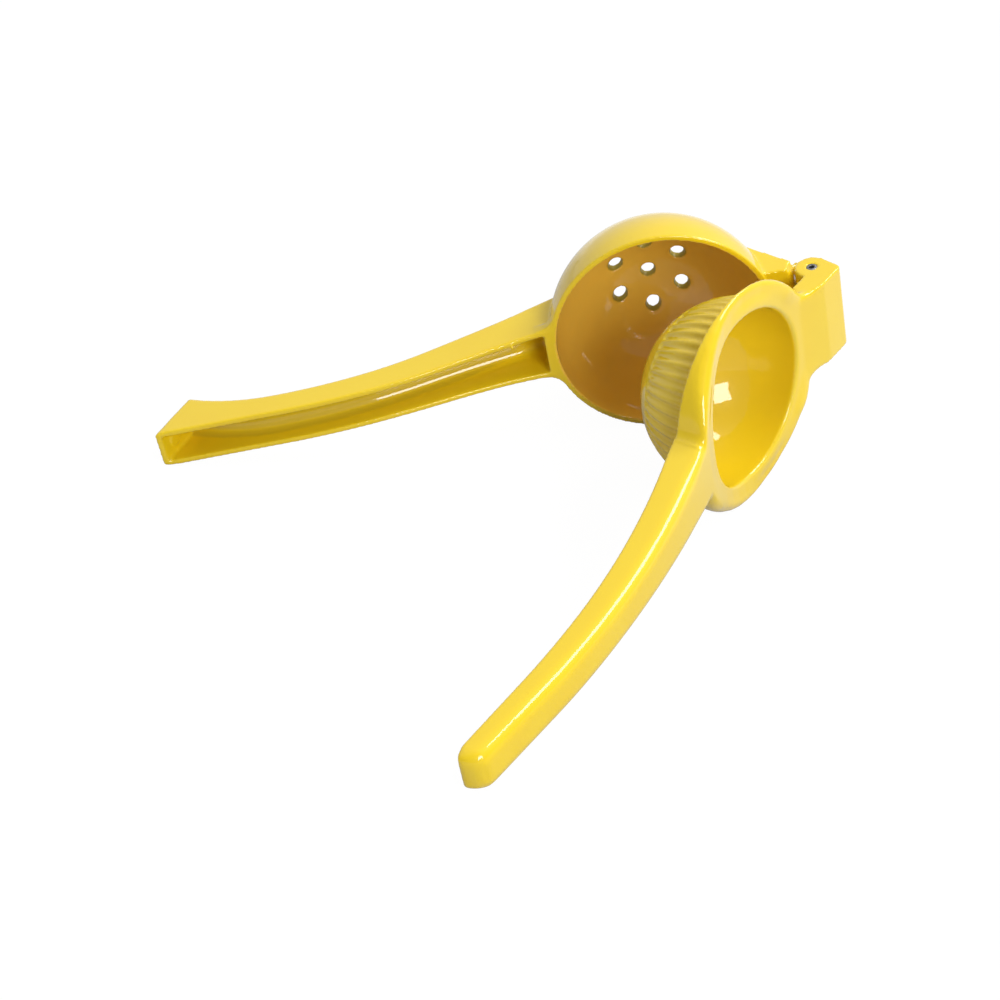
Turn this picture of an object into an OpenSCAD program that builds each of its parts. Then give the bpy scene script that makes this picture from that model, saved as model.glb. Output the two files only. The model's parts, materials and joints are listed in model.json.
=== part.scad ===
// Hinged lemon squeezer: a strainer cup and a domed press, each cast in one piece with its
// long channel handle, joined by a hollow steel pin. It lies on its side, partly open, on
// both round rims and on the ends of the handles.
//
// Each half is drawn in the tool's own plane: the pin's axis is Z through the origin, the
// handle runs towards -X, and the cup bulges towards +Y. Then the press turns open round
// the pin, and the whole tool is laid down on the plane Z = 0.

/* [Strainer cup] */
// Outer radius of the cup and of the press's flange
cup_r = 38; // [34:0.5:42]
// Thickness of the cup's wall
cup_wall = 2; // [1.6:0.1:2.6]
// Thickness of the cup's wall in the middle of its bottom, where the holes are
cup_base = 2.6; // [2:0.1:4]
// Depth of the straight band between the rim and the hemisphere
cup_skirt = 3.5; // [1:0.1:8]
// Distance from the pin to the middle of the cup
cup_reach = 50.7; // [49:0.1:56]
// How far the rim's flat face lies past the pin's axis, towards the press
rim_drop = 0.6; // [0.2:0.1:1.2]

/* [Strainer holes] */
// Diameter of each strainer hole
hole_d = 4.2; // [2.5:0.1:5]
// Number of holes in the ring round the middle one
hole_count = 6; // [4:1:8]
// Radius of the ring on which the holes round the middle one lie
hole_ring_r = 12.5; // [10:0.5:15]

/* [Press] */
// How much farther from the pin the middle of the press lies than the middle of the cup
press_shift = 0.9; // [0:0.1:1.2]
// Gap all round between the press's dome and the inside of the cup
juice_gap = 4.1; // [3.5:0.1:6]
// Thickness of the dome's wall
dome_wall = 3; // [2:0.1:3.4]
// How far the flange's inner face lies below the pin's axis
face_drop = 4.3; // [3.8:0.1:5]
// Thickness of the flange where it is flat
flange_t = 2.1; // [1.8:0.1:3]
// Radius of the rounded outer corner of the flange
flange_round = 1.6; // [0.5:0.1:1.7]

/* [Flutes] */
// Number of flutes round the foot of the dome
flute_count = 50; // [36:1:56]
// Radius of the round groove of each flute
flute_r = 1.5; // [1:0.1:1.6]
// Depth of each flute
flute_depth = 0.8; // [0.4:0.1:0.9]
// Angle from the flange up to the round end of each flute
flute_rise = 36; // [20:1:45]

/* [Hinge] */
// Width across the two ears, along the pin
hinge_w = 31; // [28:0.2:33]
// Radius of the ears round the pin
ear_r = 5.6; // [5:0.1:6]
// Width of the cup's tongue between the ears
tongue_w = 15; // [12:0.5:17]
// Gap beside the tongue and round its knuckle
tongue_gap = 0.3; // [0.2:0.05:0.6]
// Distance from the pin's axis to the outer face of the block that carries the ears
block_drop = 8.7; // [8.2:0.1:10]
// Gap between the closed block and the arm's underside
block_gap = 1.1; // [0.9:0.1:1.4]
// How far the arm's underside lies back from the face of the rim, to make room for the block
arm_recess = 1.3; // [1:0.1:2]
// Radius of the coned relief that lets the ears pass the shoulders of the arm, at the tongue
relief_r = 6.2; // [6.1:0.1:7]
// How much wider the relief is at the sides of the arm
relief_flare = 2; // [0.5:0.1:2.5]
// Outer diameter of the hollow pin
pin_d = 3.5; // [3:0.1:4]
// Diameter of the hole along the pin
pin_hole_d = 1.9; // [1.2:0.1:2.1]
// Width of the slot along the pin
pin_slot = 0.5; // [0.3:0.1:0.8]
// How far each end of the pin lies inside the face of its ear
pin_recess = 0.2; // [0:0.1:0.8]
// Radial running clearance between the pin and the tongue
run_gap = 0.05; // [0.02:0.01:0.1]

/* [Handles] */
// Distance from the pin to the end of the cup's handle
cup_handle_end = 222.2; // [205:0.2:235]
// Distance from the pin to the end of the press's handle
press_handle_end = 227.6; // [210:0.5:240]
// Width of the cup's handle at its end
handle_w = 14; // [12:0.5:17]
// Width of the press's handle at its end
press_handle_w = 13.9; // [12:0.5:17]
// Width that the cup's handle gains towards its root
root_flare = 5; // [2:0.5:7]
// Width that the press's handle gains towards its root
press_flare = 6.8; // [2:0.2:8]
// Depth of the cup's handle at its waist
cup_handle_t = 10.2; // [8:0.2:12]
// Depth of the press's handle at its waist
press_handle_t = 8.8; // [7.5:0.1:11]
// How far the cup's handle steps towards the press
cup_step = 14; // [10:0.5:17]
// How far the press's handle steps away from the cup
press_step = 17.5; // [16.5:0.5:22]
// Radius of the corners where the cup's handle leaves its rim
cup_fillet = 7; // [1:0.5:9]
// Radius of the corners where the press's handle leaves its flange
neck_fillet = 4.5; // [1:0.1:5]
// Distance from the pin to the waist of the cup's handle, where it runs level
waist = 183; // [175:1:190]
// Radius of the long sweep that the cup's handle follows towards its waist
sweep_r = 240; // [210:5:280]
// Distance from the pin to the waist of the press's handle
press_waist = 195; // [185:1:205]
// Radius of the long sweep that the press's handle follows towards its waist
press_sweep_r = 312; // [270:2:350]
// Thickness of the side walls of the handles
handle_wall = 2; // [1.6:0.1:2.6]
// Thickness of the floor of the handles
handle_floor = 2.2; // [1.8:0.1:3]
// Radius of the rounded back corners of the cup's handle
cup_back_r = 1.2; // [0.6:0.1:3]
// Radius of the rounded back corners of the press's handle
press_back_r = 2.6; // [1:0.1:3.2]
// Slant of the cup handle's end, in length for each unit of depth
end_slant = 0.68; // [0:0.02:0.9]
// Web between the channels of the handles and the hollow of the cup or the flange's edge
web = 3.6; // [2.4:0.1:5]

/* [Pose] */
// Angle between the two halves as the tool lies open
open_angle = 49.2; // [30:0.2:70]

/* [Hidden] */
$fn = 96;
EPS = 0.01;
CUT = 60;                                // reach of a cutting solid past what it cuts
half_w = hinge_w / 2;
cup_in_r = cup_r - cup_wall;
cup_mid_y = cup_skirt - rim_drop;        // height of the hemisphere's centre
arm_y = arm_recess - rim_drop;           // underside of the arm
dome_r = cup_in_r - juice_gap;
dome_in_r = dome_r - dome_wall;
dome_mid_y = flange_t / 2 - face_drop;   // height of the dome's centre
press_reach = cup_reach + press_shift;
flange_y = -face_drop - flange_t;        // outer face of the flange
root = press_reach + cup_r;              // where both handles have left their rims
cup_waist_y = -rim_drop - cup_step;      // open edge of the cup's handle at its waist
press_waist_y = -face_drop - press_step; // open edge of the press's handle at its waist
waist_back_r = 173;                      // sweep of the back of the cup's handle
tail_back_r = 62;                        // sweep that deepens the cup's handle at its end
straight_from = 52;                      // past this length from the waist a back runs straight
back_lead = 8;                           // how far the press handle's back bends ahead of its edge
press_back_sweep = press_sweep_r + 10;   // sweep of the press handle's back
tail_dip = 0.016;                        // slopes of the handles past the waist
tail_thin = 0.02;
edge_r = 0.5;                            // rounded edges of the channels' rims
end_r = 4.4;                             // length of the rounded end of the press's handle
end_draw = 0.5;                          // how much that end draws in, for each unit of length
tip_r = 1.6;                             // rounded corners of the cup handle's end
press_slant = 0.3;                       // slant of the press handle's end
arm_slope = 1;                           // steepness of the sloped back of the arm
block_u = 7;                             // where the block's outer face starts to slope away
block_end = 19;                          // where that slope has run out on the flange
swell_blend = 5;                         // softness of the flange's swell into the handle
cup_blend = 7.5;                         // softness with which the handles leave the rims' planes
press_blend = 2;
swell_start = press_reach + 4;           // where the flange starts to swell towards the handle
swell_ease = 0.25;                        // how fast the swell's corners grow rounder on the flange
disc_inset = 0.04;                       // keeps the swell's facets inside the round flange
nest_gap = 0.8;                          // room in the block for the face of the rim
ring_step = 5;                           // spacing of the sections along a handle

// The rounded outer corner of the block, at the foot of its slightly leaning end face
block_corner = [for (i = [0:5])
    [ear_r - 3.1 + 2 * sin(18 * i), 2 - block_drop - 2 * cos(18 * i)]];

// ---- curves along the handles: u is the distance from the pin, towards the handle's end

// Height above the waist of an arc of radius r that is level at the waist, carried on as a
// straight line past the given length
function sweep(d, r, straight) =
    let (a = min(abs(d), straight), rise = r - sqrt(r * r - a * a))
    rise + (abs(d) - a) * a / sqrt(r * r - a * a);

// The lower of two heights, with the corner between them rounded off over the range k
function soft_min(a, b, k) = min(a, b) - pow(max(0, k - abs(a - b)), 2) / (4 * k);

function cup_edge(u) = u > waist ? cup_waist_y - tail_dip * (u - waist)
    : soft_min(-rim_drop, cup_waist_y + sweep(waist - u, sweep_r, CUT * 2), cup_blend);
function cup_back(u) = cup_waist_y + cup_handle_t
    + (u > waist ? sweep(waist - u, tail_back_r, straight_from / 2)
                 : sweep(waist - u, waist_back_r, straight_from));
function press_edge(u) = u > press_waist ? press_waist_y
    : soft_min(-face_drop, press_waist_y + sweep(press_waist - u, press_sweep_r, CUT * 2),
               press_blend);
function press_back(u) = let (d = press_waist - back_lead - u, y = press_waist_y - press_handle_t)
    d < 0 ? y - tail_thin * d
          : soft_min(flange_y, y + sweep(d, press_back_sweep, CUT * 3), swell_blend);

// Width of the cup's handle, and of the press's
function width(u) = handle_w + root_flare * pow(max(0, waist - 33 - u) / 60, 2);
function press_w(u) = press_handle_w
    + press_flare * pow(max(0, press_waist - 30 - u) / (press_waist - 30 - root), 2);

// The corner between the press's flange and its handle: its middle lies neck_x past the
// flange's middle, and it starts to leave the flange at the angle neck_a
neck_w = press_w(root) / 2;
neck_x = sqrt(pow(cup_r - disc_inset + neck_fillet, 2) - pow(neck_w + neck_fillet, 2));
neck_a = acos(neck_x / (cup_r - disc_inset + neck_fillet));
neck_u = press_reach + neck_x - neck_fillet * cos(neck_a);

// Width of the press's flange and handle: the round flange, the corner, then the handle
function press_width(u) = let (c = u - press_reach)
    c > neck_x ? press_w(u)
    : c > neck_x - neck_fillet * cos(neck_a)
        ? 2 * (neck_w + neck_fillet - sqrt(pow(neck_fillet, 2) - pow(neck_x - c, 2)))
        : 2 * sqrt(pow(cup_r - disc_inset, 2) - c * c);

// ---- sections and lofts

function corner(y, z, r, from, n) = [for (i = [0:n])
    [y + r * cos(from + 90 * i / n), z + r * sin(from + 90 * i / n)]];

// A rounded rectangle from y0 to y1, w wide, with corner radii r0 and r1 at its two sides
function section(y0, y1, w, r0, r1) = concat(
    corner(y1 - r1, w / 2 - r1, r1, 0, 4), corner(y0 + r0, w / 2 - r0, r0, 90, 4),
    corner(y0 + r0, r0 - w / 2, r0, 180, 4), corner(y1 - r1, r1 - w / 2, r1, 270, 4));

// The same section stood across the handle at u, and slanted by m about its side at y_ref
function ring(u, y_ref, m, points) = [for (p = points) [m * (p[0] - y_ref) - u, p[0], p[1]]];

// How far the end's slant has grown at u
function slant(u) = end_slant * pow(max(0, (u - waist) / (cup_handle_end - waist)), 2);

// Where the back of a slanted section at u lies
function back_u(u, n = 4) = n == 0 ? u : let (b = back_u(u, n - 1))
    u - slant(u) * (cup_back(b) - cup_edge(u));

// How far a handle draws in at u when its end, at the given place, is rounded over the length r
function end_inset(u, end, r, draw) = let (d = max(0, u - (end - r)))
    draw * (r - sqrt(max(0, r * r - d * d)));

function cup_ring(u) = ring(u, cup_edge(u), slant(u),
    section(cup_edge(u), cup_back(back_u(u)), width(u) - 2 * end_inset(u, cup_handle_end, tip_r, 0.9),
            edge_r, cup_back_r));
function cup_slot_ring(u) = ring(u, cup_edge(u), slant(u),
    section(cup_edge(u) - CUT / 20, cup_back(back_u(u)) - handle_floor,
            width(u) - 2 * handle_wall, 0.2, 3.2));

// The press's end leans the other way, and is rounded all round
function press_ring(u) = let (e = end_inset(u, press_handle_end, end_r, end_draw),
                              y0 = press_back(u) + e + disc_inset,
                              y1 = min(press_edge(u), -face_drop - disc_inset) - e)
    ring(u, press_edge(u), -press_slant * slant(u) / max(end_slant, EPS),
         section(y0, y1, press_width(u) - 2 * e,
                 min(press_back_r + swell_ease * max(0, root + 2 - u), y1 - y0 - edge_r), edge_r));
function press_slot_ring(u) = ring(u, press_edge(u), -press_slant * slant(u) / max(end_slant, EPS),
    section(press_back(u) + handle_floor, press_edge(u) + CUT / 20,
            press_w(u) - 2 * handle_wall, 2.4, 0.2));

// Places of the sections from one end of a loft to the other, closer together near its start
function places(from, to) = let (n = ceil((to - from) / ring_step))
    [for (i = [0:n]) from + (to - from) * i / n];

module loft(rings) {
    n = len(rings[0]);
    last = len(rings) - 1;
    points = [for (r = rings) each r];
    sides = [for (k = [0:last - 1]) for (i = [0:n - 1]) let (j = (i + 1) % n)
        each [[k * n + i, k * n + j, (k + 1) * n + j], [k * n + i, (k + 1) * n + j, (k + 1) * n + i]]];
    caps = [[for (i = [0:n - 1]) n - 1 - i], [for (i = [0:n - 1]) last * n + i]];
    polyhedron(points, concat(sides, caps), convexity = 8);
}

function rounded_end(end, r) = [for (a = [25, 50, 75, 90]) end - r * (1 - sin(a))];

cup_places = concat(places(root - 6, cup_handle_end - tip_r), rounded_end(cup_handle_end, tip_r));
press_places = concat(places(swell_start, neck_u - 12), [for (c = [9, 6.5, 4.5, 2.8, 1.4]) neck_u - c],
    [for (i = [0:5]) press_reach + neck_x - neck_fillet * cos(neck_a + (90 - neck_a) * i / 5)],
    places(press_reach + neck_x + 3, press_handle_end - end_r),
    rounded_end(press_handle_end, end_r));
cup_slot_places = places(cup_reach + cup_in_r + web, cup_handle_end - handle_wall);
press_slot_places = places(root + web, press_handle_end - handle_wall);

// ---- shared shapes

// A disc, or a bowl's solid form, round the middle of a rim at the given reach from the pin
module disc(reach, r, y0, y1) {
    translate([-reach, y0, 0]) rotate([-90, 0, 0]) cylinder(r = r, h = y1 - y0);
}
module rounded_disc(reach, r, y0, y1, corner_r) {
    translate([-reach, 0, 0]) rotate([-90, 0, 0]) rotate_extrude()
        polygon(concat([[0, y1], [0, y0]], [for (i = [0:6])
            [r - corner_r + corner_r * sin(15 * i), y0 + corner_r - corner_r * cos(15 * i)]],
            [[r, y1]]));
}
module bowl(reach, r, y0, y_mid, turn = 0) {
    translate([-reach, 0, 0]) rotate([-90, 0, 0]) rotate([0, 0, turn]) rotate_extrude() {
        translate([0, y0]) square([r, y_mid - y0]);
        intersection() {
            translate([0, y_mid]) circle(r = r);
            translate([0, y_mid]) square([r, r]);
        }
    }
}

// The corners between a straight-sided piece, w wide, and the round rim that it meets on
// its side towards the pin (1) or the handle (-1), filled to a radius r from y0 up to y1
module rim_corners(reach, towards, w, r, y0, y1) {
    cx = sqrt(pow(cup_r + r, 2) - pow(w / 2 + r, 2));
    turn = atan2(w / 2 + r, cx);
    outline = concat([for (i = [0:6]) let (a = 180 + turn + (90 - turn) * i / 6)
                          [cx + (r + EPS) * cos(a), w / 2 + r + (r + EPS) * sin(a)]],
                     [[cx, w / 2 - 1], [cx - 3 * r, w / 2 - 1]]);
    for (side = [0, 1]) translate([-reach, y0, 0]) rotate([-90, 0, 0])
        mirror([0, side, 0]) mirror([towards < 0 ? 1 : 0, 0, 0])
            linear_extrude(height = y1 - y0) polygon(outline);
}

// A flat outline in the tool's plane, w wide along the pin
module slab(w) { linear_extrude(height = w, center = true) children(); }
module pin_bore(r, w) { cylinder(r = r, h = w, center = true); }

// ---- the cup's half

// The arm that carries the tongue: flat below, behind the face of the rim, and sloped above
module arm() {
    foot = cup_reach - cup_r + 7;
    land_y = ear_r - 0.8;
    difference() {
        slab(hinge_w) polygon([[-foot, arm_y], [0, arm_y], [0, land_y],
                               [-(land_y + rim_drop) / arm_slope, land_y],
                               [-foot, arm_slope * foot - rim_drop]]);
        for (side = [0, 1]) mirror([0, 0, side]) translate([0, 0, tongue_w / 2])
            cylinder(r1 = relief_r, r2 = relief_r + 2 * relief_flare, h = hinge_w - tongue_w);
    }
    pin_bore(ear_r - tongue_gap, tongue_w);
}

// The holes run straight through along the cup's axis, as a mould makes them
module strainer_holes() {
    translate([-press_reach, cup_mid_y, 0]) rotate([-90, 0, 0]) {
        cylinder(d = hole_d, h = cup_r + 1);
        for (i = [0:hole_count - 1]) rotate([0, 0, 30 + i * 360 / hole_count])
            translate([hole_ring_r, 0, 0]) cylinder(d = hole_d, h = cup_r + 1);
    }
}

module strainer_half() {
    color([0.95, 0.80, 0.20]) placed() difference() {
        union() {
            bowl(cup_reach, cup_r, -rim_drop, cup_mid_y, 60);
            arm();
            rim_corners(cup_reach, 1, hinge_w, 2, arm_y, cup_mid_y);
            rim_corners(cup_reach, -1, width(root), cup_fillet, -rim_drop, cup_mid_y);
            loft([for (u = cup_places) cup_ring(u)]);
        }
        bowl(cup_reach, cup_in_r, -rim_drop - 1, cup_mid_y - cup_base + cup_wall, 60);
        strainer_holes();
        loft([for (u = cup_slot_places) cup_slot_ring(u)]);
        pin_bore(pin_d / 2 + run_gap, hinge_w);
    }
}

// ---- the press's half

// One flute: a round groove along the dome, with a round end towards its top
module flute() {
    out = dome_r - flute_depth + flute_r;
    translate([0, dome_mid_y, 0]) rotate([0, 0, 180 - flute_rise]) {
        rotate_extrude(angle = flute_rise - 2) translate([out, 0]) circle(r = flute_r, $fn = 24);
        translate([out, 0, 0]) sphere(r = flute_r * 1.02, $fn = 24);
    }
}

// The block behind the ears, with the slot that takes the tongue
module ear_block() {
    block_y = arm_y - block_gap;
    neck = press_reach - sqrt(cup_r * cup_r - half_w * half_w);
    difference() {
        union() {
            pin_bore(ear_r, hinge_w);
            slab(hinge_w) polygon(concat([[ear_r - 0.1, 0], [0.1 - ear_r, 0],
                [0.1 - ear_r, block_y], [-neck + 4, block_y], [-neck, -face_drop - EPS],
                [-block_end, -face_drop - EPS], [-block_end, flange_y + EPS],
                [-block_u, -block_drop]], block_corner));
        }
        slab(tongue_w + 2 * tongue_gap) {
            circle(r = ear_r + tongue_gap);
            translate([-CUT / 4, block_y]) square([CUT / 2, CUT]);
        }
        disc(cup_reach, cup_r + nest_gap, -rim_drop - nest_gap, CUT);
    }
}

module press_half() {
    color([0.95, 0.80, 0.20]) placed() rotate([0, 0, open_angle]) difference() {
        union() {
            difference() {
                bowl(press_reach, dome_r, -face_drop - flange_t / 2, dome_mid_y);
                for (i = [0:flute_count - 1]) translate([-press_reach, 0, 0])
                    rotate([0, (i + 0.5) * 360 / flute_count, 0]) flute();
            }
            rounded_disc(press_reach, cup_r, flange_y, -face_drop, flange_round);
            ear_block();
            rim_corners(press_reach, 1, hinge_w, 8, flange_y + flange_round / 4, -face_drop);
            loft([for (u = press_places) press_ring(u)]);
        }
        bowl(press_reach, dome_in_r, -CUT, dome_mid_y);
        loft([for (u = press_slot_places) press_slot_ring(u)]);
        pin_bore(pin_d / 2, hinge_w + 1);
    }
}

// ---- the pin

module hinge_pin() {
    color([0.62, 0.62, 0.64]) placed() difference() {
        cylinder(d = pin_d, h = hinge_w - 2 * pin_recess, center = true);
        cylinder(d = pin_hole_d, h = hinge_w, center = true);
        translate([0, -pin_slot / 2, -half_w]) cube([pin_d, pin_slot, hinge_w]);
    }
}

// ---- laying the tool down

// Turns a point of the press from its own place to its opened one
function opened(p) = [p[0] * cos(open_angle) - p[1] * sin(open_angle),
                      p[0] * sin(open_angle) + p[1] * cos(open_angle), p[2]];
function unit(v) = v / norm(v);

// Lowest point, against the upward direction up, of a circle in a plane with normal n
function circle_foot(c, n, r, up) = c - r * unit(up - n * (n * up));
// Lowest of a list of points
function list_foot(points, up) =
    let (heights = [for (p = points) p * up]) points[search(min(heights), heights)[0]];

cup_hub = [-cup_reach, -rim_drop, 0];
press_hub = opened([-press_reach, -face_drop, 0]);
press_normal = opened([0, 1, 0]);
cup_handle_points = [for (u = cup_places) each cup_ring(u)];
press_handle_points = [for (u = press_places) each [for (p = press_ring(u)) opened(p)]];

// The upward direction of the plane through the lowest points of both rims and of the cup's
// handle, found by turning the plane until they stay the same
function settled(up, n) = n == 0 ? up :
    let (a = circle_foot(cup_hub, [0, 1, 0], cup_r, up),
         b = circle_foot(press_hub, press_normal, cup_r, up),
         c = list_foot(cup_handle_points, up))
    settled(unit(cross(c - a, b - a) * sign(cross(c - a, b - a)[2])), n - 1);

up = settled([0, 0, 1], 12);
lie_turn = atan2(up[1], up[0]);
lie_tilt = acos(up[2]);
function lain(p) = let (x = p[0] * cos(lie_turn) + p[1] * sin(lie_turn),
                        y = p[1] * cos(lie_turn) - p[0] * sin(lie_turn))
    [x * cos(lie_tilt) - p[2] * sin(lie_tilt), y, x * sin(lie_tilt) + p[2] * cos(lie_tilt)];

// The corners of the block, the handles and the round cup give the tool's extent
block_points = [for (z = [-half_w, half_w]) each concat([opened([ear_r, 0, z]), [0, ear_r, z]],
    [for (p = block_corner) opened([p[0], p[1], z])])];
extent_points = [for (p = concat(cup_handle_points, press_handle_points, block_points)) lain(p)];
ball_middle = lain([-cup_reach, cup_mid_y, 0]);
low = [for (i = [0:1]) min(min([for (p = extent_points) p[i]]), ball_middle[i] - cup_r)];
high = [for (i = [0:1]) max(max([for (p = extent_points) p[i]]), ball_middle[i] + cup_r)];
floor_z = lain(circle_foot(cup_hub, [0, 1, 0], cup_r, up))[2];

module placed() {
    translate([-(low[0] + high[0]) / 2, -(low[1] + high[1]) / 2, -floor_z])
        rotate([0, -lie_tilt, 0]) rotate([0, 0, -lie_turn]) children();
}

strainer_half();
press_half();
hinge_pin();
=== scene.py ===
"""Hinged lemon squeezer: two cast halves under yellow enamel, a rolled steel pin and a plain
studio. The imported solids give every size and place, and the pieces here dress them."""

import json

import bpy
import numpy as np
from bpy.props import FloatProperty, FloatVectorProperty, IntProperty, PointerProperty
from bpy.types import Operator, Panel, PropertyGroup
from mathutils import Matrix, Vector


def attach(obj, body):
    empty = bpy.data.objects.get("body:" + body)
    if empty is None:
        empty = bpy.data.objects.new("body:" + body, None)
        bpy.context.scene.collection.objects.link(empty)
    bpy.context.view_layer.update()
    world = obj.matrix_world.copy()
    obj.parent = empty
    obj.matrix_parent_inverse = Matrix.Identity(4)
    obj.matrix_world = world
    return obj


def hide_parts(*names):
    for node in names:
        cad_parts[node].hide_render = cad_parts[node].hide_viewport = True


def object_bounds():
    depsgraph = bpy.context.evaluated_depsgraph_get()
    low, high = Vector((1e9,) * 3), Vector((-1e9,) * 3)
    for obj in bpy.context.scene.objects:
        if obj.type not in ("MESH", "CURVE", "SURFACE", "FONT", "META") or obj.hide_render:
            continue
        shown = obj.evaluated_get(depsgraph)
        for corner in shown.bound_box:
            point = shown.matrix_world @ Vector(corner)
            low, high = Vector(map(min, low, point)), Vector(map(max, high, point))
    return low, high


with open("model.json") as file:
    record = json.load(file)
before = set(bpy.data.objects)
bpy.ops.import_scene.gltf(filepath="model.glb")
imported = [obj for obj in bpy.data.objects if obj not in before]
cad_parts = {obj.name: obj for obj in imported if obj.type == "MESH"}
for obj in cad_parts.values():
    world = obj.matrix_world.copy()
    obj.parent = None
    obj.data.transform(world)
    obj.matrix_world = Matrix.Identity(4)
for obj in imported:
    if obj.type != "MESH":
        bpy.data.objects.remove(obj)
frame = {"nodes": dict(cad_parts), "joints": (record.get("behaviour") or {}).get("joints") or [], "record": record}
CAD_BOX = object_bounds()

bl_info = {
    "name": "Hinged lemon squeezer",
    "version": (1, 0, 0),
    "blender": (4, 5, 0),
    "location": "3D View > Sidebar > Squeezer",
    "description": "Builds the enamelled castings, hinge pin and studio of a lemon squeezer",
    "category": "Add Mesh",
}

MM = 0.001
WHITE = (1, 1, 1, 1)

# Sizes that the solids have too
PIN_D = 3.5 * MM
PIN_HOLE_D = 1.9 * MM
PIN_SLOT = 0.5 * MM
PIN_LENGTH = 30.6 * MM
PIN_RECESS = 0.2 * MM
CUP_REACH = 50.7 * MM
CUP_MID = 2.9 * MM
HOLE_RING_R = 12.5 * MM
HOLE_COUNT = 6
PRESS_REACH = 51.6 * MM
PRESS_FACE = -4.3 * MM
PRESS_BACK = -6.4 * MM
DOME_R = 31.9 * MM
HOLLOW_R = 28.9 * MM
HOLLOW_MID = -3.25 * MM
STRAINER_WAIST = 183 * MM
PRESS_WAIST = 187 * MM

# Stretches over which the rounded ends of the handles and the back of the flange begin
STRAINER_TIP = (216.5 * MM, 219 * MM)
PRESS_TIP = (222 * MM, 224.5 * MM)
FLANGE_BACK = (-6.2 * MM, -4.6 * MM)

# Sizes of the finer shapes
WELD = 0.002 * MM
PIN_EDGE = 0.18 * MM
EJECTOR_MID = -9.4 * MM
EJECTOR_R = 2.2 * MM
EJECTOR_DEPTH = 0.5 * MM
HOLE_FLARE = 0.45 * MM
NECK_BEAD = 0.32 * MM
THIN_FROM = 0.16 * MM
WEIGHT_STEPS = 10

# The studio
FLOOR_R = 2.6
FLOOR_GAP = 0.2 * MM
LAMP_AIM = Vector((0.04, 0.0, 0.03))
LAMP_DISTANCE = 1.5


# ---- sizes and colours that a user would change

class CastingSettings(PropertyGroup):
    grain: FloatProperty(
        name="Grain", description="Size of the faces that carry the castings' soft skin",
        default=0.46 * MM, min=0.3 * MM, max=2 * MM, precision=5, unit="LENGTH")
    softness: IntProperty(
        name="Softness", description="How often the enamel is eased over every edge",
        default=5, min=1, max=20)
    corner_softness: IntProperty(
        name="Corner softness", description="How often the inner corners of the channel are eased",
        default=50, min=0, max=120)
    lip_softness: IntProperty(
        name="Lip softness", description="How often the lip of the press's hollow is eased",
        default=40, min=0, max=120)
    ridge_softness: IntProperty(
        name="Ridge softness",
        description="How often the back corners of the press's handle are eased",
        default=160, min=0, max=300)
    faces: IntProperty(
        name="Faces", description="Most triangles that a casting may have",
        default=188000, min=10000, max=199000)
    open_angle: FloatProperty(
        name="Open angle", description="Angle between the two halves at rest",
        default=np.radians(49.2), subtype="ANGLE")


class EnamelSettings(PropertyGroup):
    colour: FloatVectorProperty(
        name="Colour", description="Colour of the enamel on open faces",
        subtype="COLOR", size=3, min=0, max=1, default=(0.86, 0.615, 0.009))
    # Deeper tone of gathered enamel, used at random and in pits, and also as painted shade in the corners
    pooled_and_shade: FloatVectorProperty(
        name="Pooled colour", description="Colour of the enamel where it gathers in corners",
        subtype="COLOR", size=3, min=0, max=1, default=(0.82, 0.51, 0.008))
    # Painted shade: the oranger, browner tone of the cup's shaded inside
    painted_bowl_shade: FloatVectorProperty(
        name="Deep colour", description="Colour of the thicker enamel inside the cup",
        subtype="COLOR", size=3, min=0, max=1, default=(0.92, 0.58, 0.075))
    # Painted shade: darkens the floor and sides of the channel and the inside of the press's hollow
    painted_shade: FloatVectorProperty(
        name="Lean colour",
        description="Colour of the enamel in the channel and the hollow, where less of it reaches",
        subtype="COLOR", size=3, min=0, max=1, default=(0.64, 0.455, 0.014))
    # Paler tone of enamel drawn out over edges, and also a painted highlight there
    thin_and_sheen: FloatVectorProperty(
        name="Thin colour", description="Colour of the enamel where it draws thin over edges",
        subtype="COLOR", size=3, min=0, max=1, default=(0.84, 0.64, 0.03))
    # Painted shade on the walls of the holes
    hole: FloatVectorProperty(
        name="Hole colour", description="Colour of the enamel on the walls of the holes",
        subtype="COLOR", size=3, min=0, max=1, default=(0.36, 0.28, 0.03))
    roughness: FloatProperty(
        name="Roughness", description="Roughness of the enamel below its clear surface",
        default=0.34, min=0.05, max=1, subtype="FACTOR")
    peel: FloatProperty(
        name="Peel", description="Depth of the fine waves in the enamel",
        default=0.012 * MM, min=0, max=0.1 * MM, precision=6, unit="LENGTH")


class PinSettings(PropertyGroup):
    colour: FloatVectorProperty(
        name="Colour", description="Colour of the rolled steel",
        subtype="COLOR", size=3, min=0, max=1, default=(0.36, 0.36, 0.37))
    stain: FloatVectorProperty(
        name="Stain colour", description="Colour of the dull places on the steel",
        subtype="COLOR", size=3, min=0, max=1, default=(0.16, 0.16, 0.17))
    recess: FloatProperty(
        name="Recess", description="How far the pin's ends lie inside the ears",
        default=PIN_RECESS, min=0, max=1 * MM, precision=5, unit="LENGTH")


class StageSettings(PropertyGroup):
    sky: FloatProperty(
        name="Surroundings", description="Brightness of the surroundings behind and on the right",
        default=0.75, min=0, max=2)
    sky_front: FloatProperty(
        name="Dark surroundings",
        description="Brightness of the surroundings on the left and in front",
        default=0.28, min=0, max=2)
    front_lamp: FloatProperty(
        name="Front lamp", description="Power of the square lamp in front",
        default=12.7, min=0, unit="POWER")
    side_lamp: FloatProperty(
        name="Side lamp", description="Power of the long lamp high on the right",
        default=13.5, min=0, unit="POWER")
    lens: FloatProperty(
        name="Lens", description="Focal length for a 36 mm wide sensor",
        default=86.24, min=10, unit="CAMERA")


# ---- places

def square_to(axis, towards):
    """The direction square to an axis that comes nearest to a given one."""
    towards = Vector(towards)
    return (towards - axis * towards.dot(axis)).normalized()


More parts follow.
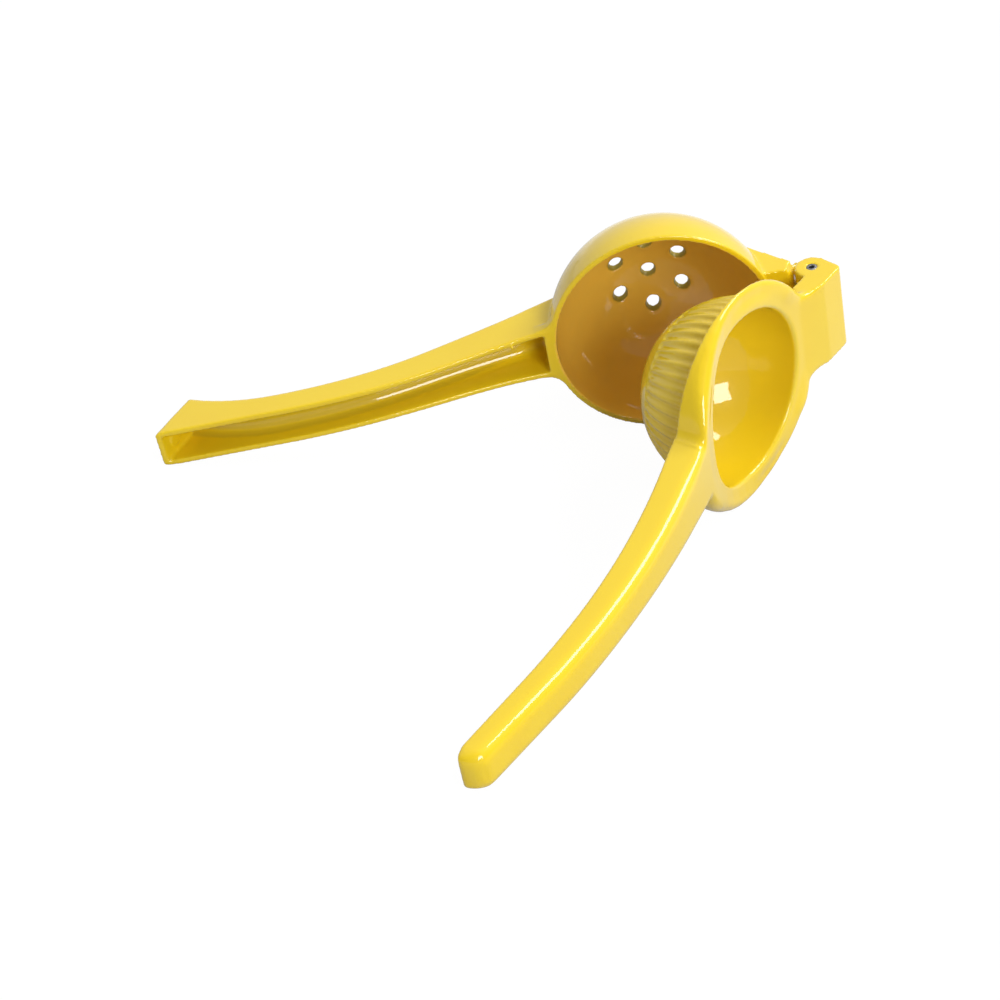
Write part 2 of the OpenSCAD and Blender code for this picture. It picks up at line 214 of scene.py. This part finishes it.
def axes(x, y, z, origin):
    """The matrix with these axes and this origin."""
    place = Matrix((x, y, z)).transposed().to_4x4()
    place.translation = Vector(origin)
    return place


def tool_frame(turn=0.0):
    """The matrix that carries points of a half, in the tool's own plane, to where it lies.
    In that plane the pin is Z, the handles run towards -X and the cup bulges to +Y."""
    joint = frame["joints"][0]
    z = Vector(joint["axis"]).normalized()
    y = square_to(z, -Vector(frame["record"]["mounts"][0]["axis"]))
    return axes(y.cross(z), y, z, joint["pos_m"]) @ Matrix.Rotation(turn, 4, "Z")


def all_points(piece, kind="co"):
    """The places of all of a piece's points, or their normals, as an array."""
    rows = np.empty(len(piece.data.vertices) * 3)
    piece.data.vertices.foreach_get(kind, rows)
    return rows.reshape(-1, 3)


def set_points(piece, points):
    """Moves all of a piece's points."""
    piece.data.vertices.foreach_set("co", points.ravel())
    piece.data.update()


def own_points(piece, place):
    """All of a piece's points, in the tool's own plane."""
    back = np.array(place.inverted())
    return all_points(piece) @ back[:3, :3].T + back[:3, 3]


def own_normals(piece, place):
    """The normals at all of a piece's points, in the tool's own plane."""
    return all_points(piece, "normal") @ np.array(place)[:3, :3]


def put_points(piece, place, points):
    """Moves all of a piece's points, from the tool's own plane."""
    there = np.array(place)
    set_points(piece, points @ there[:3, :3].T + there[:3, 3])


def ease(x, low, high):
    """0 below low, 1 above high, and a smooth step between."""
    t = np.clip((x - low) / (high - low), 0, 1)
    return t * t * (3 - 2 * t)


def fade(x, low, high):
    """1 below low, 0 above high, and a smooth step between."""
    return 1 - ease(x, low, high)


def from_hollow(own):
    """How far points lie from the middle of the ball that the press's hollow is cut with."""
    return np.linalg.norm(own - np.array([-PRESS_REACH, HOLLOW_MID, 0]), axis=1)


def from_hub(own):
    """How far points lie from the line through the middle of the press's dome."""
    return np.hypot(own[:, 0] + PRESS_REACH, own[:, 2])


# ---- modelling

def in_scene(name, data):
    """A new object for some data, linked to the scene."""
    made = bpy.data.objects.new(name, data)
    bpy.context.scene.collection.objects.link(made)
    return made


def only(piece):
    """Makes a piece the only selected one and the active one."""
    bpy.ops.object.select_all(action="DESELECT")
    piece.select_set(True)
    bpy.context.view_layer.objects.active = piece


def apply_all(piece):
    """Applies a piece's modifiers, in their order."""
    only(piece)
    for modifier in list(piece.modifiers):
        bpy.ops.object.modifier_apply(modifier=modifier.name)


def casting_from(node, name):
    """A closed copy of a solid's surface, to be cast again with soft edges."""
    piece = in_scene(name, frame["nodes"][node].data.copy())
    piece.data.name = name
    piece.data.materials.clear()
    only(piece)
    bpy.ops.object.mode_set(mode="EDIT")
    bpy.ops.mesh.select_all(action="SELECT")
    bpy.ops.mesh.remove_doubles(threshold=WELD)
    bpy.ops.object.mode_set(mode="OBJECT")
    return piece


def add_runs(piece, place, runs):
    """Joins runs of enamel to a piece: drops, each with its place and size in mm and how far
    it is stretched along each axis."""
    drops = []
    for x, y, z, size, stretch in runs:
        bpy.ops.object.select_all(action="DESELECT")
        bpy.ops.mesh.primitive_ico_sphere_add(subdivisions=3, radius=size * MM)
        drop = bpy.context.active_object
        drop.data.transform(Matrix.Diagonal((*stretch, 1)))
        drop.data.transform(place @ Matrix.Translation(Vector((x, y, z)) * MM))
        drops.append(drop)
    only(piece)
    for drop in drops:
        drop.select_set(True)
    bpy.ops.object.join()


def recast(piece):
    """Gives a piece an even skin of small faces."""
    skin = piece.modifiers.new("skin", "REMESH")
    skin.mode = "VOXEL"
    skin.voxel_size = bpy.context.scene.squeezer_castings.grain * 1
    skin.use_smooth_shade = True
    apply_all(piece)


def smooth_by(piece, weights, repeat, name):
    """Eases a piece's surface a number of times, most where the weights are near 1."""
    if not repeat:
        return
    group = piece.vertex_groups.new(name=name)
    steps = np.round(np.clip(weights, 0, 1) * WEIGHT_STEPS).astype(int)
    for step in range(1, WEIGHT_STEPS + 1):
        members = np.flatnonzero(steps == step)
        if len(members):
            group.add(members.tolist(), step / WEIGHT_STEPS, "REPLACE")
    modifier = piece.modifiers.new(name, "SMOOTH")
    modifier.factor = 0.5
    modifier.iterations = repeat
    modifier.vertex_group = group.name
    apply_all(piece)
    piece.vertex_groups.clear()


def thin_out(piece):
    """Merges faces until a casting has no more than it may have."""
    most = bpy.context.scene.squeezer_castings.faces
    piece.data.calc_loop_triangles()
    count = len(piece.data.loop_triangles)
    if count > most:
        fewer = piece.modifiers.new("fewer", "DECIMATE")
        fewer.ratio = most / count
        apply_all(piece)


def keep_inside(piece):
    """Draws any point that stands out of the solids' box back to it."""
    set_points(piece, np.clip(all_points(piece), *np.array(CAD_BOX)))


def mark(piece, name, values):
    """Stores a number at every point of a piece, for its material."""
    field = piece.data.attributes.new(name, "FLOAT", "POINT")
    field.data.foreach_set("value", np.asarray(values, dtype=np.float32))


def mark_thickness(piece, sharp):
    """Stores where the enamel lies drawn out over edges (1) and where it gathers in corners (-1), from how far
    each point was eased from its sharp place. The material paints a paler highlight at the first and shade at the
    second."""
    moved = ((sharp - all_points(piece)) * all_points(piece, "normal")).sum(1)
    mark(piece, "enamel", np.clip(moved / THIN_FROM, -1, 1))


# ---- materials

class Wire:
    """An output of a node that can stand in a Python expression."""

    def __init__(self, finish, socket):
        self.finish = finish
        self.socket = socket

    def math(self, operation, *values):
        return self.finish.node("ShaderNodeMath", {"operation": operation}, list(values))

    def __add__(self, other):
        return self.math("ADD", self, other)

    __radd__ = __add__

    def __sub__(self, other):
        return self.math("SUBTRACT", self, other)

    def __rsub__(self, other):
        return self.math("SUBTRACT", other, self)

    def __mul__(self, other):
        return self.math("MULTIPLY", self, other)

    __rmul__ = __mul__

    def largest(self, other):
        return self.math("MAXIMUM", self, other)

    def step(self, low, high, start=0, end=1):
        """Start below low, end above high, smooth between."""
        return self.finish.node("ShaderNodeMapRange", {"interpolation_type": "SMOOTHSTEP"}, {
            "Value": self, "From Min": low, "From Max": high, "To Min": start, "To Max": end})


class Finish:
    """The nodes of a material or of the world, built from calls and expressions."""

    def __init__(self, owner, ending="ShaderNodeOutputMaterial"):
        owner.use_nodes = True
        self.owner = owner
        self.tree = owner.node_tree
        self.tree.nodes.clear()
        self.ending = self.tree.nodes.new(ending)

    def node(self, kind, settings=None, inputs=None, output=0):
        """Adds a node. Its inputs are wires or values, as a list or by socket."""
        made = self.tree.nodes.new(kind)
        for name, value in (settings or {}).items():
            setattr(made, name, value)
        pairs = enumerate(inputs) if isinstance(inputs, list) else (inputs or {}).items()
        for key, value in pairs:
            socket = made.inputs[key]
            if isinstance(value, Wire):
                self.tree.links.new(value.socket, socket)
            else:
                socket.default_value = value
        return Wire(self, made.outputs[output])

    def stored(self, name):
        """A number that is stored at the points of a piece."""
        return self.node("ShaderNodeAttribute", {"attribute_name": name}, output="Fac")

    def noise(self, place, scale, detail, roughness=0.5):
        return self.node("ShaderNodeTexNoise", inputs={
            "Vector": place, "Scale": scale, "Detail": detail, "Roughness": roughness})

    def mix(self, factor, first, second):
        """Mixes two colours."""
        return self.node("ShaderNodeMix", {"data_type": "RGBA"},
                         {0: factor, 6: first, 7: second}, output=2)

    def end(self, shader):
        self.tree.links.new(shader.socket, self.ending.inputs["Surface"])
        return self.owner


def rgb(colour):
    return (*colour, 1.0)


def enamel(name, shift):
    """Thick glossy enamel on a casting, faintly wavy. It is paler over edges, from enamel drawn out there and from
    a painted highlight, and darker in corners, from gathered enamel and from painted shade. Painted shade also
    darkens the inside of the bowl, the channel, the hollow and the walls of the holes.
    The pattern is shifted from one casting to the other."""
    settings = bpy.context.scene.squeezer_enamel
    f = Finish(bpy.data.materials.new(name))
    place = f.node("ShaderNodeTexCoord", output="Object")
    place = f.node("ShaderNodeMapping", inputs={"Vector": place, "Location": (shift, 0, 0)})
    cloud = f.noise(place, 46, 2)
    fine = f.noise(place, 620, 1, 0.4)
    swell = f.noise(place, 130, 1, 0.4)
    speck = f.node("ShaderNodeTexVoronoi", {"feature": "F1"}, {"Vector": place, "Scale": 150})
    pit = 1 - speck.step(0.035, 0.085)
    thickness = f.stored("enamel")
    # Over edges: drawn-out enamel and a painted highlight; in corners: gathered enamel and painted shade
    thin_and_sheen = thickness.step(0.15, 1.0)
    pooled_and_shade = 1 - thickness.step(-0.9, -0.05)
    # Walls of the holes: painted shade, and a duller coat
    hole = f.stored("hole")
    colour = rgb(settings.colour)
    # Painted shade inside the bowl, in the channel and the hollow, in corners and on the walls of the holes; a
    # painted highlight over edges
    for amount, other in (
            (0.16 * cloud.step(0.35, 0.7), settings.pooled_and_shade),
            (f.stored("inside"), settings.painted_bowl_shade),
            (f.stored("painted_shade"), settings.painted_shade),
            (0.75 * pooled_and_shade, settings.pooled_and_shade),
            (0.55 * thin_and_sheen, settings.thin_and_sheen),
            (0.12 * pit, settings.pooled_and_shade),
            (hole, settings.hole)):
        colour = f.mix(amount, colour, rgb(other))
    height = fine * settings.peel + swell * (4 * settings.peel) - pit * (0.6 * settings.peel)
    bump = f.node("ShaderNodeBump", inputs={
        "Strength": 1.0, "Distance": 1.0, "Height": height})
    roughness = settings.roughness + 0.08 * cloud - 0.05 * thin_and_sheen
    return f.end(f.node("ShaderNodeBsdfPrincipled", inputs={
        "Base Color": colour, "Roughness": roughness, "IOR": 1.5,
        "Specular IOR Level": 0.15, "Coat Weight": 1 - 0.85 * hole, "Coat Roughness": 0.035,
        "Coat IOR": 1.56, "Normal": bump}))


def rolled_steel(name):
    """Bare steel strip rolled into a pin: fine lines round it, a little dull in places."""
    settings = bpy.context.scene.squeezer_pin
    f = Finish(bpy.data.materials.new(name))
    place = f.node("ShaderNodeTexCoord", output="Object")
    drawn = f.node("ShaderNodeMapping", inputs={"Vector": place, "Scale": (1, 1, 9)})
    lines = f.noise(drawn, 900, 2)
    stain = f.noise(place, 300, 2)
    colour = f.mix(0.6 * stain.step(0.35, 0.7), rgb(settings.colour), rgb(settings.stain))
    bump = f.node("ShaderNodeBump", inputs={
        "Strength": 0.5, "Distance": 0.02 * MM, "Height": lines})
    return f.end(f.node("ShaderNodeBsdfPrincipled", inputs={
        "Base Color": colour, "Metallic": 1.0, "Roughness": 0.3 + 0.2 * lines, "Normal": bump}))


def white_paper(name, level, glow):
    """Matt paper. The camera sees it plain white by the glow, and with its shadows by the
    rest. Reflections find it brightest from X 0.16 to 0.22 m and dim where X is low."""
    f = Finish(bpy.data.materials.new(name))
    seen, glossy, through = (f.node("ShaderNodeLightPath", output=f"Is {kind} Ray")
                             for kind in ("Camera", "Glossy", "Transmission"))
    place = f.node("ShaderNodeTexCoord", output="Object")
    paper = f.mix(0.3 * f.noise(place, 40, 3), (level, level, level, 1),
                  (level * 0.97, level * 0.97, level * 0.96, 1))
    matt = f.node("ShaderNodeBsdfDiffuse", inputs={"Color": paper, "Roughness": 0.5})
    light = f.node("ShaderNodeEmission", inputs={"Color": WHITE, "Strength": 1.06})
    across = f.node("ShaderNodeSeparateXYZ", inputs={"Vector": place}, output="X")
    factor = seen * glow + glossy.largest(through) * (
        0.12 + 0.7 * across.step(0.05, 0.16) - 0.35 * across.step(0.22, 0.5))
    return f.end(f.node("ShaderNodeMixShader", inputs={0: factor, 1: matt, 2: light}))


# ---- the pieces

class SQUEEZER_OT_strainer(Operator):
    """Casts the strainer half: the pierced cup, its arm and tongue, and the channel handle"""
    bl_idname = "squeezer.strainer"
    bl_label = "Strainer half"

    def execute(self, context):
        settings = context.scene.squeezer_castings
        place = tool_frame()
        piece = casting_from("strainer_half", "strainer_casting")
        self.add_drops(piece, place)
        recast(piece)
        sharp = all_points(piece)
        own = own_points(piece, place)
        smooth_by(piece, np.ones(len(own)), settings.softness, "skin")
        mark_thickness(piece, sharp)
        smooth_by(piece, self.channel_corners(own), settings.corner_softness, "corners")
        smooth_by(piece, ease(-own[:, 0], *STRAINER_TIP), repeat=16, name="end")
        self.press_ejector_mark(piece, place)
        self.flare_holes(piece, place)
        self.mark_inside(piece, place)
        thin_out(piece)
        keep_inside(piece)
        piece.data.materials.append(enamel("strainer_enamel", 0.0))
        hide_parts("strainer_half")
        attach(piece, "strainer")
        return {"FINISHED"}

    @staticmethod
    def add_drops(piece, place):
        """Adds the runs in the channel near the cup, and then the enamel that has gathered on
        the arm's shoulders, beside the ears."""
        add_runs(piece, place, (
            (-103.0, -1.6, 6.9, 0.9, (1.4, 0.7, 1)), (-105.6, -2.8, 7.1, 0.8, (1.4, 0.8, 1)),
            (-101.2, -3.4, 7.2, 0.6, (1.4, 0.6, 1)), (-99.4, -1.4, 7.3, 0.7, (1.4, 0.6, 1))))
        add_runs(piece, place, [
            (-radius * np.cos(turn), radius * np.sin(turn), side * out, size, (1, 1, stretch))
            for radius, turns, out, size, stretch in (
                (7.6, (20, 32, 44, 56), 10.6, 1.45, 2.2), (7.1, (16, 26, 36, 46), 8.0, 0.95, 1.5))
            for turn in np.radians(turns) for side in (-1, 1)])

    @staticmethod
    def press_ejector_mark(piece, place):
        """Leaves the round mark of the mould's ejector on the end wall of the channel."""
        own = own_points(piece, place)
        across = np.hypot(own[:, 1] - EJECTOR_MID, own[:, 2])
        near = (own[:, 0] < -213 * MM) & (across < 5 * MM) \
            & (own_normals(piece, place)[:, 0] > 0.3)
        depth = fade(across, EJECTOR_R, EJECTOR_R + 0.5 * MM) * EJECTOR_DEPTH
        own[near, 0] += depth[near]
        put_points(piece, place, own)

    @staticmethod
    def flare_holes(piece, place):
        """Widens the mouths of the holes inside the bowl and marks the holes' walls, which the material paints
        with shade and gives a duller coat.
        """
        own = own_points(piece, place)
        turns = np.radians(30 + np.arange(HOLE_COUNT) * 360 / HOLE_COUNT)
        holes = np.array([(0, 0), *zip(np.cos(turns), np.sin(turns))]) * HOLE_RING_R
        away = (own[:, (0, 2)] + np.array([PRESS_REACH, 0]))[:, None] - holes
        gap = np.linalg.norm(away, axis=2)
        rows, nearest = np.arange(len(own)), gap.argmin(1)
        gap, away = gap[rows, nearest], away[rows, nearest]
        from_bowl = np.linalg.norm(own - np.array([-CUP_REACH, CUP_MID, 0]), axis=1)
        pierced = own[:, 1] > 20 * MM
        reach = HOLE_FLARE * pierced * fade(from_bowl, 36 * MM, 37.8 * MM) \
            * fade(gap, 2.3 * MM, 4.3 * MM)
        own[:, (0, 2)] += away / np.maximum(gap, 1e-9)[:, None] * reach[:, None]
        put_points(piece, place, own)
        normal = own_normals(piece, place)
        wall = fade(np.abs(normal[:, 1]), 0.6, 0.85) * fade(gap, 2.7 * MM, 3.1 * MM)
        mark(piece, "hole", pierced * wall)

    @staticmethod
    def above_floor(own):
        """How far points lie from the floor of the channel, in mm. The floor is a circle of
        173 mm before the handle's waist and of 62 mm past it."""
        past = -own[:, 0] / MM - STRAINER_WAIST / MM
        before, after = np.maximum(0, -past), np.maximum(0, past)
        return own[:, 1] / MM - (-6.6 + before ** 2 / 346 + before ** 4 / 4.14e7
                                 + after ** 2 / 124)

    @classmethod
    def channel_corners(cls, own):
        """Weights round the two inner corners of the channel."""
        along = -own[:, 0] / MM
        half_width = 5.0 + 2.5 * (np.maximum(0, 150 - along) / 60) ** 2
        gap = np.hypot(cls.above_floor(own) + 1.5, np.abs(own[:, 2]) / MM - half_width + 1.0)
        return np.exp(-(gap / 2.6) ** 2) * ease(along, 94, 98) * fade(along, 205, 212)

    @classmethod
    def mark_inside(cls, piece, place):
        """Marks the inside of the bowl, and the floor and sides of the handle's channel, where the material paints
        shade.
        """
        own = own_points(piece, place)
        normal = own_normals(piece, place)
        from_middle = own - np.array([-CUP_REACH, CUP_MID, 0])
        radius = np.linalg.norm(from_middle, axis=1)
        inwards = ease(-(normal * from_middle).sum(1) / radius, 0, 0.5)
        mark(piece, "inside", inwards * fade(radius, 36.6 * MM, 37.4 * MM))
        along, side = -own[:, 0], np.abs(own[:, 2])
        to_wall = 6 * MM - side + (221 * MM - along) * 0.04
        floor = ease(-normal[:, 1], 0.5, 0.9) * ease(to_wall, 0, 1.5 * MM)
        sides = ease(-normal[:, 2] * np.sign(own[:, 2]), 0.5, 0.9)
        mark(piece, "painted_shade", ease(along, 89 * MM, 91 * MM) * np.maximum(floor, sides)
             * ease(cls.above_floor(own), -4.4, -2.8))


class SQUEEZER_OT_press(Operator):
    """Casts the press half: the fluted dome, its flange, the hinge block and the long handle"""
    bl_idname = "squeezer.press"
    bl_label = "Press half"

    def execute(self, context):
        settings = context.scene.squeezer_castings
        place = tool_frame(settings.open_angle)
        piece = casting_from("press_half", "press_casting")
        recast(piece)
        self.bend_flange(piece, place)
        self.fill_necks(piece, place)
        sharp = all_points(piece)
        own = own_points(piece, place)
        smooth_by(piece, 1 - 0.35 * self.on_dome(own), settings.softness, "skin")
        smooth_by(piece, self.lip(own), settings.lip_softness, "lip")
        mark_thickness(piece, sharp)
        smooth_by(piece, self.ridge(own), settings.ridge_softness, "ridge")
        smooth_by(piece, self.wedge(own), repeat=30, name="wedge")
        smooth_by(piece, ease(-own[:, 0], *PRESS_TIP), repeat=60, name="end")
        self.bead_necks(piece, place)
        # Painted shade over the inside of the hollow
        mark(piece, "painted_shade", 0.38 * fade(from_hollow(own), 29.5 * MM, 30.0 * MM))
        thin_out(piece)
        keep_inside(piece)
        piece.data.materials.append(enamel("press_enamel", 0.37))
        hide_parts("press_half")
        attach(piece, "press")
        return {"FINISHED"}

    @staticmethod
    def on_dome(own):
        """Weights on the fluted outside of the dome."""
        return ease(own[:, 1], PRESS_FACE + 0.2 * MM, PRESS_FACE + 1.5 * MM) \
            * fade(from_hub(own), DOME_R + 0.6 * MM, DOME_R + 1.2 * MM) \
            * ease(from_hollow(own), 30.0 * MM, 30.3 * MM)

    @staticmethod
    def lip(own):
        """Weights round the lip of the hollow."""
        return np.exp(-(((from_hub(own) - HOLLOW_R) / (2.2 * MM)) ** 2)
                      - (((own[:, 1] - PRESS_BACK) / (2.2 * MM)) ** 2))

    @staticmethod
    def ridge(own):
        """Weights round the two back corners of the handle, less on the side that lies down.
        The back is a circle of 322 mm before the handle's waist."""
        along = -own[:, 0] / MM
        past = along - PRESS_WAIST / MM
        before = np.maximum(0, -past)
        back = -31.05 + before ** 2 / 644 + before ** 4 / 2.67e8 + 0.02 * np.maximum(0, past)
        half_width = 6.95 + 3.4 * (np.maximum(0, 165 - along) / 75.4) ** 2
        gap = np.hypot(own[:, 1] / MM - back, np.abs(own[:, 2]) / MM - half_width)
        return np.exp(-(gap / 4.4) ** 2) * ease(along, 92, 104) * np.where(own[:, 2] > 0, 1, 0.45)

    @staticmethod
    def wedge(own):
        """Weights where the hinge block slopes down to the flange."""
        return ease(-own[:, 0], 9 * MM, 12 * MM) * fade(-own[:, 0], 24 * MM, 28 * MM) \
            * fade(own[:, 1], -6.4 * MM, -5.2 * MM)

    @staticmethod
    def bend_flange(piece, place):
        """Draws the flange thinner at its sides and lets it thicken towards the hinge."""
        own = own_points(piece, place)
        turn = np.degrees(np.arctan2(np.abs(own[:, 2]), own[:, 0] + PRESS_REACH))
        shift = np.interp(turn, (30, 40, 56, 66, 84, 97, 110), (0, -0.6, 0, 0.5, 0.6, 0, -0.2))
        reach = ease(from_hub(own), 31 * MM, 35 * MM) * fade(own[:, 1], *FLANGE_BACK)
        own[:, 1] += shift * MM * reach
        put_points(piece, place, own)

    @staticmethod
    def fill_necks(piece, place):
        """Fills the corners between the flange and the hinge block a little more."""
        own = own_points(piece, place)
        toward, side = own[:, 0] + 21 * MM, np.abs(own[:, 2]) - 19 * MM
        near = np.exp(-(toward ** 2 + side ** 2) / (6 * MM) ** 2) \
            * ease(from_hub(own), 31.5 * MM, 35 * MM) * np.where(own[:, 2] > 0, 0.45, 1)
        own[:, 0] += 0.5 * MM * near
        own[:, 1] -= 0.8 * MM * near * fade(own[:, 1], *FLANGE_BACK)
        own[:, 2] += np.sign(own[:, 2]) * 0.85 * MM * near
        put_points(piece, place, own)

    @staticmethod
    def bead_necks(piece, place):
        """Raises the edge where each side of the handle leaves the flange."""
        own = own_points(piece, place)
        along, side = -own[:, 0] / MM, np.abs(own[:, 2]) / MM
        bead = np.exp(-((along - 90.1) / 0.55) ** 2) * ease(side, 9.2, 9.8) * fade(side, 12, 13)
        own[:, 2] += np.sign(own[:, 2]) * NECK_BEAD * bead
        put_points(piece, place, own)


class SQUEEZER_OT_pin(Operator):
    """Rolls the hinge pin: a steel tube with an open slot and bevelled ends"""
    bl_idname = "squeezer.pin"
    bl_label = "Hinge pin"

    def execute(self, context):
        settings = context.scene.squeezer_pin
        bpy.ops.object.select_all(action="DESELECT")
        bpy.ops.mesh.primitive_cylinder_add(
            vertices=64, radius=PIN_D / 2, depth=PIN_LENGTH + 2 * (PIN_RECESS - settings.recess),
            end_fill_type="NOTHING")
        piece = context.active_object
        piece.name = piece.data.name = "rolled_pin"
        self.open_slot(piece)
        wall = piece.modifiers.new("wall", "SOLIDIFY")
        wall.thickness = (PIN_D - PIN_HOLE_D) / 2
        wall.offset = -1
        edge = piece.modifiers.new("edge", "BEVEL")
        edge.width = PIN_EDGE
        edge.segments = 3
        edge.limit_method = "ANGLE"
        edge.angle_limit = np.radians(50)
        apply_all(piece)
        piece.data.transform(tool_frame())
        bpy.ops.object.shade_smooth_by_angle(angle=np.radians(35))
        piece.data.materials.append(rolled_steel("pin_steel"))
        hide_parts("hinge_pin")
        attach(piece, "press")
        return {"FINISHED"}

    @staticmethod
    def open_slot(piece):
        """Takes out the strip of faces between the two edges of the rolled steel."""
        bpy.ops.object.mode_set(mode="EDIT")
        bpy.ops.mesh.select_all(action="DESELECT")
        bpy.ops.object.mode_set(mode="OBJECT")
        for face in piece.data.polygons:
            face.select = face.center.x > 0 and abs(face.center.y) < PIN_SLOT / 2
        bpy.ops.object.mode_set(mode="EDIT")
        bpy.ops.mesh.delete(type="FACE")
        bpy.ops.object.mode_set(mode="OBJECT")


class SQUEEZER_OT_stage(Operator):
    """Sets the floor, the surroundings, two soft lamps and the camera"""
    bl_idname = "squeezer.stage"
    bl_label = "Stage"

    def execute(self, context):
        settings = context.scene.squeezer_stage
        self.floor(context)
        self.surroundings(context, settings)
        self.lamp("front_lamp", (-0.095, -0.89, 0.446), (1, 0, 0), (0.62, 0.62),
                  settings.front_lamp)
        self.lamp("side_lamp", (0.575, -0.08, 0.81), (0.676, 0.087, 0.73), (0.96, 0.50),
                  settings.side_lamp)
        self.camera(context, settings)
        return {"FINISHED"}

    @staticmethod
    def floor(context):
        """A round sheet of paper, just below the tool."""
        bpy.ops.object.select_all(action="DESELECT")
        bpy.ops.mesh.primitive_circle_add(
            vertices=96, radius=FLOOR_R, fill_type="NGON", location=(0, 0, -FLOOR_GAP))
        piece = context.active_object
        piece.name = piece.data.name = "paper_floor"
        bpy.ops.object.transform_apply(location=True, rotation=True, scale=True)
        piece.data.materials.append(white_paper("white_paper", level=0.5, glow=0.92))

    @staticmethod
    def surroundings(context, settings):
        """Surroundings that the camera sees white, and that light the tool from behind and
        from the right more than from the left and in front."""
        world = context.scene.world = bpy.data.worlds.new("white_room")
        f = Finish(world, "ShaderNodeOutputWorld")
        seen, through = (f.node("ShaderNodeLightPath", output=f"Is {kind} Ray")
                         for kind in ("Camera", "Transmission"))
        towards = f.node("ShaderNodeVectorMath", {"operation": "DOT_PRODUCT"}, [
            f.node("ShaderNodeTexCoord", output="Generated"),
            Vector((0.5, 0.8, 0.34)).normalized()], output="Value")
        soft = f.node("ShaderNodeBackground", inputs={
            "Color": WHITE,
            "Strength": towards.step(-0.35, 0.6, settings.sky_front, settings.sky)})
        white = f.node("ShaderNodeBackground", inputs={"Color": WHITE, "Strength": 1.0})
        f.end(f.node("ShaderNodeMixShader", inputs=[seen.largest(through), soft, white]))

    @staticmethod
    def lamp(name, direction, towards, size, power):
        """A flat lamp in a direction from the tool, its long side turned towards another."""
        z = Vector(direction).normalized()
        x = square_to(z, towards)
        data = bpy.data.lights.new(name, "AREA")
        data.shape = "RECTANGLE"
        data.size, data.size_y = size
        data.energy = power
        in_scene(name, data).matrix_world = axes(
            x, z.cross(x), z, z * LAMP_DISTANCE + LAMP_AIM)

    @staticmethod
    def camera(context, settings):
        """The camera, from its right, its up and the direction behind it."""
        data = bpy.data.cameras.new("camera")
        data.sensor_width = 36
        data.lens = settings.lens
        data.clip_start = 0.05
        data.clip_end = 20
        camera = in_scene("camera", data)
        camera.matrix_world = axes(
            (0.87024512, -0.49261870, 0.00050358), (0.27407175, 0.48501569, 0.83044835),
            (-0.40933863, -0.7225556, 0.5570954), (-0.33592128, -0.54169329, 0.43441579))
        context.scene.camera = camera


class SQUEEZER_PT_panel(Panel):
    """Lists the pieces and their settings"""
    bl_idname = "SQUEEZER_PT_panel"
    bl_label = "Lemon squeezer"
    bl_space_type = "VIEW_3D"
    bl_region_type = "UI"
    bl_category = "Squeezer"

    def draw(self, context):
        scene = context.scene
        for heading, group, operators in (
                ("Castings", scene.squeezer_castings, ("squeezer.strainer", "squeezer.press")),
                ("Enamel", scene.squeezer_enamel, ()),
                ("Pin", scene.squeezer_pin, ("squeezer.pin",)),
                ("Stage", scene.squeezer_stage, ("squeezer.stage",))):
            box = self.layout.box()
            box.label(text=heading)
            for name in group.__annotations__:
                box.prop(group, name)
            for operator in operators:
                box.operator(operator)


GROUPS = (
    ("squeezer_castings", CastingSettings),
    ("squeezer_enamel", EnamelSettings),
    ("squeezer_pin", PinSettings),
    ("squeezer_stage", StageSettings),
)
CLASSES = (SQUEEZER_OT_strainer, SQUEEZER_OT_press, SQUEEZER_OT_pin, SQUEEZER_OT_stage,
           SQUEEZER_PT_panel)


def register():
    for name, group in GROUPS:
        bpy.utils.register_class(group)
        setattr(bpy.types.Scene, name, PointerProperty(type=group))
    for kind in CLASSES:
        bpy.utils.register_class(kind)


def unregister():
    for kind in reversed(CLASSES):
        bpy.utils.unregister_class(kind)
    for name, group in reversed(GROUPS):
        delattr(bpy.types.Scene, name)
        bpy.utils.unregister_class(group)


def main():
    register()
    bpy.context.scene.view_settings.view_transform = "Standard"
    bpy.ops.squeezer.stage()
    bpy.ops.squeezer.strainer()
    bpy.ops.squeezer.press()
    bpy.ops.squeezer.pin()


if __name__ == "__main__":
    main()
